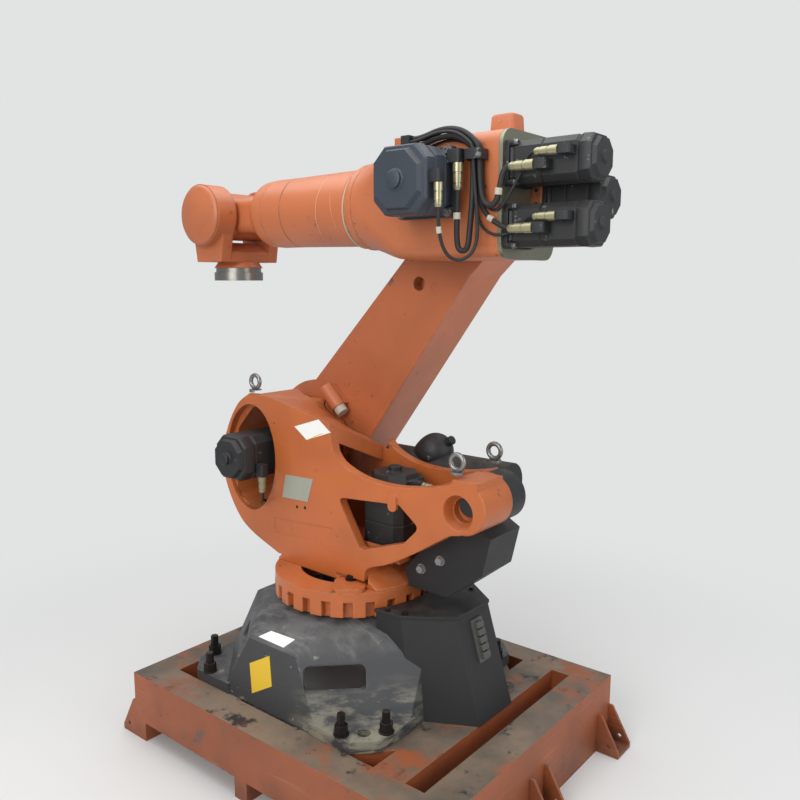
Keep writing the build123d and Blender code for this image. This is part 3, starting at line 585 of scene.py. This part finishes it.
# -------- servo drives
# Six black servo motors: square flange with screw ears, body with cut corners, stepped cap and knob.
def placed(shell, origin, across, out):
    """Local (u, v, w) points set at `origin`, with u along `across` and w along `out`."""
    across, out = Vector(across).normalized(), Vector(out).normalized()
    third = out.cross(across)
    return [tuple(Vector(origin) + across * p[0] + third * p[1] + out * p[2]) for p in shell[0]], shell[1]


def cut_square(size, cut):
    h = size / 2
    return [(h, h - cut), (h - cut, h), (-h + cut, h), (-h, h - cut), (-h, -h + cut), (-h + cut, -h), (h - cut, -h), (h, -h + cut)]


def drive(name, origin, across, out, size, length, cap, knob, material, body, replaces):
    """Rib grooves run round the body, and the cap is a shallow stepped lid."""
    def level(points, w):
        return [(x, y, w) for x, y in points]
    shells = [prism(rounded(size, size, size * 0.1), "Z", 0, 16)]
    for x in (-0.43, 0.43):
        for y in (-0.43, 0.43):
            shells.append(turned([(0, size * 0.075), (32, size * 0.075), (34, size * 0.06)], (x * size, y * size, 0), (0, 0, 1), 20))
    mid = length * 0.5
    grooves = [18, 26, 30, 34, mid - 4, mid - 1, mid + 1, mid + 4, length - 12, length - 8, length - 4, length]
    shells.append(rings([level(cut_square(size * 0.94 - (5 if k % 4 in (1, 2) else 0), size * 0.14), w) for k, w in enumerate(grooves)]))
    lid = ((0.96, 0.19, -1), (0.98, 0.2, 3), (0.96, 0.2, cap * 0.6), (0.92, 0.2, cap * 0.72), (0.84, 0.22, cap * 0.74), (0.78, 0.22, cap))
    shells.append(rings([level(cut_square(size * wide, size * cut), length + w) for wide, cut, w in lid]))
    shells.append(turned([(-2, size * 0.15), (2, size * 0.15), (4, size * 0.13), (knob - 3, size * 0.13), (knob, size * 0.1)],
                         (0, 0, length + cap), (0, 0, 1), 32))
    piece(name, [placed(s, origin, across, out) for s in shells], material, body, [replaces], 24)


motor_black = finish_of("motor_black", linear(33, 34, 36), 0.5, dirt_colour=linear(20, 20, 20), dust_colour=linear(88, 84, 78),
                        shade=0.25, dirt=0.3, dust=0.3, skin_scale=420, skin=0.2, chip=0.12, chip_scale=24, under=linear(120, 120, 120),
                        edge=0.003, worn_and_highlit_edge_colour=linear(66, 67, 68))
motor_blue = finish_of("motor_blue_black", linear(50, 58, 68), 0.45, dirt_colour=linear(24, 24, 26), dust_colour=linear(96, 96, 96),
                       shade=0.25, dirt=0.25, dust=0.25, skin_scale=420, skin=0.2, edge=0.003, worn_and_highlit_edge_colour=linear(88, 94, 100))
a3_z, a4_z, elbow_x, elbow_z, plate_back, ear_height = 2335.6, 2286.6, -537.9, 2331.6, -818, 34
roll_at, bend_at, tool_at = (plate_back, 76, a4_z + 98), (plate_back, 76, a4_z - 106), (plate_back - 42, -104, a4_z - 6)
for row in (("turn_drive", (-228, 0, 900), ahead_x, up_way, 220, 250, 72, 25, motor_black, "column", "a1_motor"),
            ("link_drive", (427, -96, 1239), ahead_x, near_way, 196, 363, 78, 20, motor_black, "column", "a2_motor"),
            ("elbow_drive", (elbow_x, 190, elbow_z), ahead_x, near_way, 236, 120, 72, 16, motor_blue, "arm", "a3_motor"),
            ("roll_drive", roll_at, near_way, rear_way, 148, 266, 54, 9, motor_black, "arm", "a4_motor"),
            ("bend_drive", bend_at, near_way, rear_way, 148, 266, 54, 9, motor_black, "arm", "a5_motor"),
            ("tool_drive", tool_at, near_way, rear_way, 148, 176, 54, 9, motor_black, "arm", "a6_motor")):
    drive(*row)
dress(["pivot_plug"], motor_black)


# -------- counterbalance
# Long cylinder on the far wall with a pear-shaped pressure vessel on top, and the barrel's end cap.
dress(["balancer_cylinder"], black_sheet)
piece("barrel_cap", [turned([(0, 96), (97, 96), (105, 88)], (barrel[0], 0, barrel[1]), far_way, 56),
                     turned([(0, 60), (97, 60), (112, 52)], (barrel[0], 0, barrel[1]), far_way, 40)],
      motor_black, "column", ["balancer_cap"])
vessel_at, vessel_way = (-205, -292, 1254), Vector((-1, 0, 0.25)).normalized()
vessel = [turned(smooth([(-96, 20), (-80, 38), (-58, 54), (-20, 73), (16, 80), (50, 72), (76, 52), (90, 26), (96, 4)], 4),
                 vessel_at, vessel_way, 48),
          turned([(0, 20), (122, 20), (126, 16)], vessel_at, (-1, 0, 0.62), 24),
          turned([(0, 26), (110, 26)], (-225, -292, 1100), up_way, 24)]
piece("pressure_vessel", vessel, motor_black, "column", ["accumulator"])
zinc = finish_of("zinc_steel", linear(150, 150, 148), 0.35, metal=0.9, dirt_colour=linear(60, 54, 46), shade=0.4, dirt=0.5, dust=0.1)
dress(["eyebolt_front", "eyebolt_mid", "eyebolt_rear"], zinc)


# -------- link arm
# Heavy orange lever on the far side, with its stop boss and the pale nylon buffer.
arm_orange = finish_of("orange_arm_paint", linear(188, 106, 64), 0.42, dirt_colour=linear(104, 58, 36), dust_colour=linear(204, 142, 108),
                       shade=0.3, dirt=0.35, dust=0.25, skin_scale=240, skin=0.14, chip=0.1, chip_scale=18, under=linear(110, 80, 60),
                       edge=0.010, worn_and_highlit_edge_colour=linear(212, 140, 100), coat=0.12)
nylon = finish_of("nylon", linear(186, 180, 162), 0.5, dirt=0.3, dust=0.1, dirt_colour=linear(110, 100, 86))
dress(["link_arm", "stop_boss"], arm_orange)
dress(["stop_buffer"], nylon)


# -------- forearm
# Gear case with rounded edges that runs into the tube, bare plate for the three hand drives,
# lifting block and boss on top, and the orange adapter under the lowest drive.
bare_steel = finish_of("bare_plate", linear(140, 140, 122), 0.38, metal=0.75, dirt_colour=linear(80, 74, 60), dust_colour=linear(130, 126, 116),
                       shade=0.35, dirt=0.5, dust=0.15, skin_scale=500, skin=0.1, edge=0.003)
case, case_back = [], -804
for x, t in ((case_back, 0.0), (-430, 0.0), (-385, 0.03), (-340, 0.13), (-300, 0.3), (-260, 0.5), (-220, 0.7), (-185, 0.86), (-160, 0.95),
             (-140, 1.0)):
    # from the case's rounded rectangle to the tube's circle
    width, height = 355 * (1 - t) + 336 * t, 426 * (1 - t) + 336 * t
    centre = (-17.5 * (1 - t), 2287 * (1 - t) + a4_z * t)
    case.append([(x, y, z) for y, z in rounded(width, height, 46 * (1 - t) + 167.5 * t, centre, 8)])
case_shells = [rings(case), turned([(0, 112), (27, 112), (30, 108)], (elbow_x, 160, elbow_z), near_way, 56),
               turned([(0, 158), (4, 158)], (-509.9, -195, a3_z), far_way, 56),
               prism(rounded(100, 104, 16, (-220, -108)), "Z", 2330, 2556)]
piece("gear_case", case_shells, arm_orange, "arm", ["arm_casting"], 30)
dress(["arm_tube"], arm_orange)
plate = prism(rounded(365, 430, 58, (-17.5, 2287)), "X", plate_back, case_back)
piece("drive_plate", [plate], bare_steel, "arm", ["motor_plate"], 30)
boss_rings = [[(x, y, z) for x, y in rounded(100 - s, 92 - s, 16, (-728, -8))] for s, z in ((0, 2494), (8, 2562), (16, 2570))]
piece("rear_boss", [rings(boss_rings)], arm_orange, "arm", ["top_boss"])
screw_holes = [turned([(0, 7), (40, 7)], (plate_back - 21, -20, z), far_way, 16) for z in (2310, 2262)]
adapter = carve([prism(rounded(160, 160, 14, tool_at[1:]), "X", tool_at[0], plate_back)], *screw_holes)
piece("drive_adapter", adapter, arm_orange, "arm")


# -------- plugs and cables
# Sockets, sleeved plugs and cables of the drives, with the clamp behind the elbow drive and the
# gland where the bundle leaves the gear case.
def lead(name, points, radius, body):
    """Round cable along smooth points in millimetres, closed at both ends."""
    curve = bpy.data.curves.new(name, "CURVE")
    curve.dimensions, curve.bevel_depth, curve.bevel_resolution, curve.use_fill_caps = "3D", radius * 0.001, 4, True
    spline = curve.splines.new("NURBS")
    spline.points.add(len(points) - 1)
    for k, place in enumerate(points):
        spline.points[k].co = [v * 0.001 for v in place] + [1]
    spline.order_u, spline.use_endpoint_u, spline.resolution_u = 4, True, 6
    mesh = drawn_mesh(put(name + "_line", curve))
    mesh.materials.clear()
    mesh.materials.append(rubber)
    settle(name, mesh, body, (), 60)


def sleeve(start, end, radius):
    """Plug: knurled coupling ring, body and strain relief."""
    way = Vector(end) - Vector(start)
    length = way.length
    shares = ((0, 0.96), (0.34, 1.08), (0.35, 0.9), (0.42, 0.9), (0.43, 1), (0.72, 1), (0.73, 0.86), (0.78, 0.86),
              (0.79, 0.94), (0.9, 0.94), (1, 0.7))
    profile = [(length * along, radius * wide) for along, wide in shares]
    profile.insert(1, (1, radius * 1.08))
    return turned(profile, start, way, 24)


rubber = finish_of("rubber_cable", linear(30, 30, 31), 0.6, dirt=0.3, dust=0.25, dust_colour=linear(90, 86, 80), skin_scale=600, skin=0.08)
plug_metal = finish_of("plug_shell", linear(168, 163, 130), 0.35, metal=0.7, dirt_colour=linear(70, 62, 44), shade=0.4, dirt=0.5, dust=0.1)
clamp_z, power_x, signal_x, a3_plug_x, a3_signal_x = 2414.6, -857, -948, -682.8, -677.8
power_plug, signal_plug, power_cable, signal_cable, drive_side = 16, 14, 10, 5, 143
# on the rear drives: x of the cable end, y, z, length and radius; on the elbow drive they stand upright
rear_plugs = ((power_x, 182, a4_z + 80, 92, power_plug), (power_x, 182, a4_z - 117, 92, power_plug),
              (signal_x, 180, a4_z + 118, 82, signal_plug), (signal_x, 180, a4_z - 83, 82, signal_plug))
plugs = [sleeve((x - length, y, z), (x, y, z), r) for x, y, z, length, r in rear_plugs]
plugs.insert(2, sleeve((a3_plug_x, 226, a3_z + 54), (a3_plug_x, 226, a3_z - 36), power_plug))
plugs.append(sleeve((a3_signal_x, 328, a3_z - 18), (a3_signal_x, 328, a3_z - 98), signal_plug))
piece("arm_plugs", plugs, plug_metal, "arm")
sockets = [prism(rounded(44, y + r - drive_side, 6, (x - length - 22, (y + r + drive_side) / 2)), "Z", z - r, z + r)
           for x, y, z, length, r in rear_plugs]
sockets.append(prism(rounded(50, 36, 6, (-672, 226)), "Z", a3_z + 54, a3_z + 98))
sockets.append(prism(rounded(46, 32, 6, (-668, 328)), "Z", a3_z - 18, a3_z + 22))
piece("arm_sockets", sockets, motor_black, "arm")


def over_the_elbow(x, y):
    """Common first stretch: from the gland over the elbow drive, down through the clamp."""
    inward = x + 747
    arch = ((-470, 2490, 0, -1), (-508, 2490, 0, -1), (-562, 2507, 0.2, -0.98), (-620, 2512, 0, -1), (-678, 2500, 0.45, -0.89),
            (-724, 2466, 0.85, -0.52))
    return [(ax + nx * inward, y, az + nz * inward) for ax, az, nx, nz in arch] + [(x, y, clamp_z + 24), (x, y, clamp_z - 30)]


cable_rows = (
    ("power_cable_top", power_cable, (-747, 194),
     [(-752, 193, 2311), (-760, 193, 2268), (-780, 193, 2245), (-805, 192, 2246), (-822, 191, 2272), (-828, 189, 2320),
      (-834, 184, a4_z + 70), (power_x + 8, 182, a4_z + 80), (power_x, 182, a4_z + 80)]),
    ("power_cable_elbow", power_cable, (-722, 193),
     [(-727, 199, 2300), (-726, 207, 2215), (-724, 214, 2150), (-723, 217, 2112), (-711, 219, 2099), (-695, 221, 2099),
      (-682, 223, 2112), (-680, 224, 2160), (-681, 225, 2215), (a3_plug_x, 226, 2262), (a3_plug_x, 226, a3_z - 36)]),
    ("power_cable_low", power_cable - 2, (-728.5, 173),
     [(-730, 173, 2315), (-738, 174, 2262), (-764, 175, 2217), (-806, 178, 2188), (power_x + 14, 181, a4_z - 114),
      (power_x, 182, a4_z - 117)]),
    ("signal_cable_elbow", signal_cable + 1, (-735, 213),
     [(-742, 213, 2320), (-750, 212, 2245), (-757, 213, 2180), (-757, 216, 2130), (-748, 225, 2093), (-727, 242, 2070),
      (-703, 264, 2066), (-684, 286, 2083), (-676, 306, 2120), (-676, 321, 2165), (a3_signal_x, 328, 2205), (a3_signal_x, 328, a3_z - 98)]),
    ("signal_cable_top", signal_cable, (-745, 171),
     [(-747, 172, 2320), (-753, 173, 2275), (-768, 174, 2243), (-797, 174, 2227), (-832, 173, 2246), (-860, 169, 2296),
      (-880, 160, 2338), (-895, 157, 2366), (-912, 161, 2390), (-928, 171, a4_z + 117), (signal_x, 180, a4_z + 118)]),
    ("signal_cable_low", signal_cable, (-711.5, 171),
     [(-715, 171, 2320), (-720, 172, 2262), (-728, 172, 2215), (-746, 173, 2180), (-776, 173, 2157), (-815, 172, 2148),
      (-850, 164, 2157), (-880, 157, 2172), (-906, 159, 2192), (-926, 169, a4_z - 83), (signal_x, 180, a4_z - 83)]))
for name, radius, start, rest in cable_rows:
    lead(name, over_the_elbow(*start) + rest, radius, "arm")
clamp = carve([prism(rounded(66, 64, 12, (-731.5, 192)), "Z", clamp_z - 17, clamp_z + 17)],
              prism(rounded(57, 57, 9, (-731.5, 188)), "Z", clamp_z - 30, clamp_z + 30))
gland = [(y, a3_z + z) for y, z in ((160, 106), (187, 106), (187, 120), (222, 120), (222, 166), (160, 166))]
clamp.append(prism(gland, "X", -470, -434))
piece("cable_clamp", clamp, motor_black, "arm")
tags = []
for centre, way, r in (((-681, 225, 2215), (0, 0, 1), 13), ((-676, 321, 2165), (0, 0.2, 1), 9),
                       ((-822, 191, 2290), (-0.1, 0, 1), 13), ((-785, 176.5, 2205), (-1, 0, -0.5), 11)):
    way = Vector(way).normalized()
    tags.append(turned([(0, r - 1), (1, r), (21, r), (22, r - 1)], Vector(centre) - way * 11, way, 20))
piece("cable_tags", tags, nylon, "arm")
ties = []
for x, lean_x, r in ((61, 10, 148), (-22, -14, 149), (-96, 8, 160)):
    way = Vector((1, 0, lean_x * 0.01)).normalized()
    ties.append(turned([(0, r), (3, r + 2.5), (6, r)], (x, 0, a4_z), way, 64))
piece("tube_ties", ties, nylon, "arm")
link_x, link_y, link_z, turn_x, turn_z = 312.9, 246, 1161, -387.6, 1190
column_plugs = [sleeve((link_x, link_y, link_z), (link_x, link_y, link_z - 71), power_plug),
                sleeve((turn_x, 18, turn_z), (turn_x - 44, 18, turn_z), signal_plug)]
piece("column_plugs", column_plugs, plug_metal, "column")
column_sockets = [prism(rounded(42, 36, 5, (link_x + 1, link_y)), "Z", link_z, link_z + 54),
                  prism(rounded(34, 34, 5, (18, turn_z)), "X", turn_x, -330)]
piece("column_sockets", column_sockets, motor_black, "column")
for name, points in (
        ("link_drive_cable", [(link_x, link_y, link_z - 71), (link_x, link_y, 1058), (345, 225, 1032), (398, 180, 1022), (440, 125, 1010),
                              (468, 70, 982), (482, 34, 950)]),
        ("turn_drive_cable", [(turn_x - 44, 18, turn_z), (-452, 18, turn_z), (-474, 20, 1170), (-477, 25, 1130), (-470, 31, 1085),
                              (-460, 35, 1045), (-456, 36, 1010)])):
    lead(name, points, 6, "column")


# -------- wrist and hand
# The hand hangs from the wrist: orange fork with two domed covers and a steel flange.
dress(["wrist_neck", "hand_fork", "hand_dome_near", "hand_dome_far"], arm_orange)
flange_steel = finish_of("flange_steel", linear(150, 148, 142), 0.3, metal=0.9, dirt=0.4, dust=0.1, dirt_colour=linear(60, 54, 46), edge=0.002)
dress(["tool_flange"], flange_steel)


# -------- fasteners
# One node tree makes every bolt and screw: a head with a socket and a washer on each point,
# turned to the point's "facing" vector.
def linked(kind, **links):
    """A new node of the screw tree whose inputs take the given outputs."""
    made = screws.nodes.new(kind)
    for label, source in links.items():
        screws.links.new(source, made.inputs[label.replace("_", " ")])
    return made


def raised(height):
    return linked("ShaderNodeCombineXYZ", Z=height).outputs[0]


screw_sizes = ("Head Radius", "Head Height", "Sides", "Socket Share", "Socket Depth", "Washer Radius", "Washer Height")
screws = bpy.data.node_groups.new("screws", "GeometryNodeTree")
screws.interface.new_socket("Geometry", in_out="INPUT", socket_type="NodeSocketGeometry")
for label in screw_sizes + ("Material",):
    socket_kind = {"Sides": "NodeSocketInt", "Material": "NodeSocketMaterial"}.get(label, "NodeSocketFloat")
    screws.interface.new_socket(label, in_out="INPUT", socket_type=socket_kind)
screws.interface.new_socket("Geometry", in_out="OUTPUT", socket_type="NodeSocketGeometry")
given, outs = screws.nodes.new("NodeGroupInput").outputs, screws.nodes.new("NodeGroupOutput")
head = linked("GeometryNodeMeshCylinder", Vertices=given["Sides"], Radius=given["Head Radius"], Depth=given["Head Height"])
# the top face is drawn in and sunk to make the key socket
sunk = linked("GeometryNodeExtrudeMesh", Mesh=head.outputs["Mesh"], Selection=head.outputs["Top"])
sunk.mode = "FACES"
fill(sunk, {"Offset Scale": 0.0})
narrowed = linked("GeometryNodeScaleElements", Geometry=sunk.outputs["Mesh"], Selection=sunk.outputs["Top"], Scale=given["Socket Share"])
bored = linked("GeometryNodeExtrudeMesh", Mesh=narrowed.outputs["Geometry"], Selection=sunk.outputs["Top"],
               Offset_Scale=product(screws, given["Socket Depth"], -1.0))
bored.mode = "FACES"
head_up = linked("GeometryNodeTransform", Geometry=bored.outputs["Mesh"],
                 Translation=raised(math_node(screws, "ADD", product(screws, given["Head Height"], 0.5), given["Washer Height"])))
washer = linked("GeometryNodeMeshCylinder", Radius=given["Washer Radius"], Depth=given["Washer Height"])
fill(washer, {"Vertices": 20})
washer_up = linked("GeometryNodeTransform", Geometry=washer.outputs["Mesh"], Translation=raised(product(screws, given["Washer Height"], 0.5)))
joined = linked("GeometryNodeJoinGeometry", Geometry=head_up.outputs["Geometry"])
screws.links.new(washer_up.outputs["Geometry"], joined.inputs["Geometry"])
way = screws.nodes.new("GeometryNodeInputNamedAttribute")
way.data_type = "FLOAT_VECTOR"
fill(way, {"Name": "facing"})
aim = linked("FunctionNodeAlignRotationToVector", Vector=way.outputs["Attribute"])
aim.axis = "Z"
scattered = linked("GeometryNodeInstanceOnPoints", Points=given["Geometry"], Instance=joined.outputs["Geometry"],
                   Rotation=aim.outputs["Rotation"])
real = linked("GeometryNodeRealizeInstances", Geometry=scattered.outputs["Instances"])
coloured = linked("GeometryNodeSetMaterial", Geometry=real.outputs["Geometry"], Material=given["Material"])
screws.links.new(coloured.outputs["Geometry"], outs.inputs["Geometry"])


def fasten(name, places, material, body, sizes):
    """Screws at places (x, y, z, facing) in millimetres; `sizes` follows screw_sizes, in metres."""
    mesh = bpy.data.meshes.new(name + "_points")
    mesh.from_pydata([tuple(v * 0.001 for v in p[:3]) for p in places], [], [])
    facing = mesh.attributes.new("facing", "FLOAT_VECTOR", "POINT")
    for k, place in enumerate(places):
        facing.data[k].vector = place[3]
    points = put(name + "_points", mesh)
    modifier = points.modifiers.new("screws", "NODES")
    modifier.node_group = screws
    values = dict(zip(screw_sizes + ("Material",), tuple(sizes) + (material,)))
    for item in screws.interface.items_tree:
        if item.in_out == "INPUT" and item.name in values:
            modifier[item.identifier] = values[item.name]
    points.update_tag()
    settle(name, drawn_mesh(points), body, (), 30)


black_bolt = finish_of("black_bolt", linear(36, 36, 37), 0.4, metal=0.6, dirt_colour=linear(70, 44, 28), dirt=0.5, dust=0.2)
foot_places = [(x * a, y * b, foot_high, up_way) for x, y in ((383, 501), (501, 383)) for a in (-1, 1) for b in (-1, 1)]
fasten("foot_nuts", foot_places, black_bolt, "base", (0.0265, 0.034, 6, 0.62, -0.044, 0.030, 0.005))
corner_ways = [(a, b) for a in (-1, 1) for b in (-1, 1)]
drive_places = [(x - ear_height, y + a * 64, z + b * 64, rear_way) for x, y, z in (roll_at, bend_at, tool_at) for a, b in corner_ways]
fasten("drive_screws", drive_places, zinc, "arm", (0.0095, 0.010, 16, 0.55, 0.005, 0.012, 0.002))
elbow_places = [(elbow_x + a * 101.5, 190 + ear_height, elbow_z + b * 101.5, near_way) for a, b in corner_ways]
fasten("elbow_screws", elbow_places, zinc, "arm", (0.012, 0.012, 16, 0.55, 0.006, 0.015, 0.002))
fasten("bracket_bolts", [(-601, 190, 976, near_way), (-514, 190, 925, near_way)], zinc, "column", (0.015, 0.014, 6, 0.6, 0.0, 0.019, 0.003))
fasten("pivot_screw", [(-145, 183, 789, up_way)], black_bolt, "column", (0.018, 0.016, 6, 0.6, 0.0, 0.024, 0.004))
lid_places = [(-345, 190, 712, up_way), (-420, 175, 712, up_way), (-480, -200, 712, up_way)]
fasten("lid_screws", lid_places, black_bolt, "base", (0.010, 0.009, 6, 0.6, 0.0, 0.014, 0.002))


# -------- stickers and plates
# Blank stickers on the column and on the sloping base, and a bare plate with two small holes below it.
def sticker(name, corners, out, depth, thickness, material, body):
    """Thin plate on four corners; `out` is the way it faces, `depth` how far it sits below its surface."""
    out = Vector(out).normalized()
    sheet = [[tuple(Vector(c) + out * reach) for c in corners] for reach in (-depth, thickness)]
    piece(name, [rings(sheet)], material, body)


def on_column(name, flat_corners, lift, thickness, material):
    """Plate on the near side of the column, whose corners are given as (x, z)."""
    corners = [Vector(near_face(x, z, lift)) for x, z in flat_corners]
    out = (corners[1] - corners[0]).cross(corners[3] - corners[0])
    sticker(name, corners, out if out.y > 0 else -out, 3, thickness, material, "column")


paper = finish_of("white_sticker", linear(238, 239, 235), 0.45, dirt=0.3, dust=0.0, dirt_colour=linear(120, 110, 96), shade=0.1, skin=0.0)
yellow = finish_of("yellow_sticker", linear(226, 186, 40), 0.45, dirt=0.3, dust=0.0, dirt_colour=linear(120, 96, 30), shade=0.1, skin=0.0)
metal_plate = finish_of("name_plate", linear(178, 180, 165), 0.4, metal=0.5, dirt=0.4, dust=0.0, dirt_colour=linear(100, 96, 80), shade=0.2, skin=0.0)
on_column("column_sticker", ((164, 1390), (22, 1436), (-45, 1389), (92, 1341)), 0, 1.2, paper)
on_column("column_sticker_yellow", ((60, 1352), (92, 1341), (20, 1374), (-12, 1384)), 1.4, 0.6, yellow)
on_column("column_plate", ((228, 1172), (59, 1179), (94, 1074), (256, 1067)), 0, 2.0, metal_plate)
fasten("plate_holes", [near_face(x, z) + (near_way,) for x, z in ((164, 1039), (114, 1044))], black_bolt, "column",
       (0.006, 0.001, 16, 0.6, 0.0, 0.007, 0.0005))
for name, corners, out, material in (
        ("base_sticker_yellow", [(122, 501.5, 464), (9, 494.5, 528), (-15, 507.6, 412), (96, 514.8, 348)], (0, 266, 30), yellow),
        ("base_sticker_white", [(96, 474, 575), (62, 436, 595.5), (-72, 432, 597.5), (-52, 476, 574)], (0, 53, 98), paper)):
    sticker(name, corners, out, 8, 1.2, material, "base")
